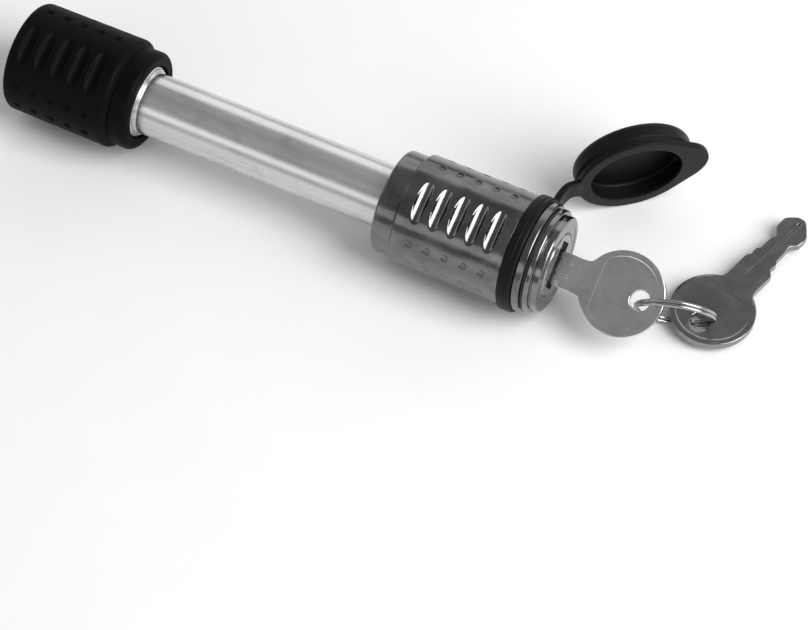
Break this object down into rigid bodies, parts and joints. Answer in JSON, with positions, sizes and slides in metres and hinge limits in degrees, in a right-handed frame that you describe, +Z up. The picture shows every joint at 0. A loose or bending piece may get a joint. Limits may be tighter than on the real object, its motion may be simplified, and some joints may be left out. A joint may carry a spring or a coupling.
{
  "type": "hitch pin lock",
  "caption": "Receiver hitch pin with a rubber-covered head, a pull-off chrome lock head with a wafer cylinder, a dust cap on a strap, and keys on a split ring.",
  "frame": {"origin": "on the pin's axis, half way along the usable span of the shank between the two heads", "axes": "+X along the pin towards the lock head and the key, +Z up from the table the lock lies on"},
  "size_m": [0.1942, 0.0619, 0.0301],
  "materials": {
    "pin_steel": "zinc plated, satin, fine axial draw lines",
    "grip_rubber": "matt moulded rubber",
    "lock_chrome": "dark bright chrome on cast zinc",
    "hard_steel": "hardened, ground",
    "cylinder_brass": "turned brass",
    "plug_nickel": "nickel plated face",
    "wafer_brass": "stamped brass",
    "spring_steel": "drawn wire",
    "face_chrome": "bright chrome",
    "seal_rubber": "matt rubber",
    "band_rubber": "matt moulded rubber",
    "key_nickel": "nickel plated, stamped",
    "ring_steel": "bright nickel plated wire"
  },
  "bodies": {
    "pin_body": {"pin_shaft": "pin_steel", "grip_cover": "grip_rubber"},
    "seal": {"shaft_seal": "seal_rubber"},
    "lock_head": {"lock_body": "lock_chrome", "ball_sleeve": "hard_steel", "cylinder_shell": "cylinder_brass", "set_pin": "hard_steel", "face_ring": "face_chrome", "face_gasket": "seal_rubber", "cap_band": "band_rubber", "cap_strap": "band_rubber"},
    "plug_core": {"plug": "plug_nickel", "cam_ring": "hard_steel", "tail_bar": "hard_steel", "wafers": "wafer_brass", "wafer_springs": "spring_steel", "plug_clip": "spring_steel"},
    "ball_a": {"latch_ball_a": "hard_steel"},
    "ball_b": {"latch_ball_b": "hard_steel"},
    "first_key": {"key_1": "key_nickel"},
    "ring": {"split_ring": "ring_steel"},
    "spare_key": {"key_2": "key_nickel"},
    "cap": {"dust_cap": "band_rubber"}
  },
  "joints": [
    {"name": "head_turn", "type": "hinge", "parent": "pin_body", "child": "seal", "pos_m": [0.0359, 0, 0], "axis": [1, 0, 0], "continuous": true},
    {"name": "head_slide", "type": "slide", "parent": "seal", "child": "lock_head", "axis": [1, 0, 0], "range_m": [0, 0.1]},
    {"name": "plug_turn", "type": "hinge", "parent": "lock_head", "child": "plug_core", "pos_m": [0.066, 0, 0], "axis": [1, 0, 0], "range_deg": [0, 90]},
    {"name": "ball_a_slide", "type": "slide", "parent": "lock_head", "child": "ball_a", "axis": [0, 0, -1], "range_m": [0, 0.00082]},
    {"name": "ball_b_slide", "type": "slide", "parent": "lock_head", "child": "ball_b", "axis": [0, 0, 1], "range_m": [0, 0.00082]},
    {"name": "key_1_slide", "type": "slide", "parent": "plug_core", "child": "first_key", "axis": [1, 0, 0], "range_m": [0, 0.025]},
    {"name": "ring_swing", "type": "hinge", "parent": "first_key", "child": "ring", "pos_m": [0.09979, -0.00089, -0.00056], "axis": [-0.5736, 0.1936, -0.7959], "range_deg": [0, 40]},
    {"name": "key_2_swing", "type": "hinge", "parent": "ring", "child": "spare_key", "pos_m": [0.11279, 0.00785, -0.0118], "axis": [0.7962, -0.0439, 0.6034], "range_deg": [-5, 8]},
    {"name": "cap_hinge", "type": "hinge", "parent": "lock_head", "child": "cap", "pos_m": [0.0712, 0.0188, 0], "axis": [0.0536, -0.0867, 0.9948], "range_deg": [-60, 45], "deforming": ["cap_strap"]}
  ],
  "couplings": [
    {"joint": "ball_a_slide", "follows": "plug_turn", "m_per_rad": 0.0005093},
    {"joint": "ball_b_slide", "follows": "plug_turn", "m_per_rad": 0.0005093}
  ]
}
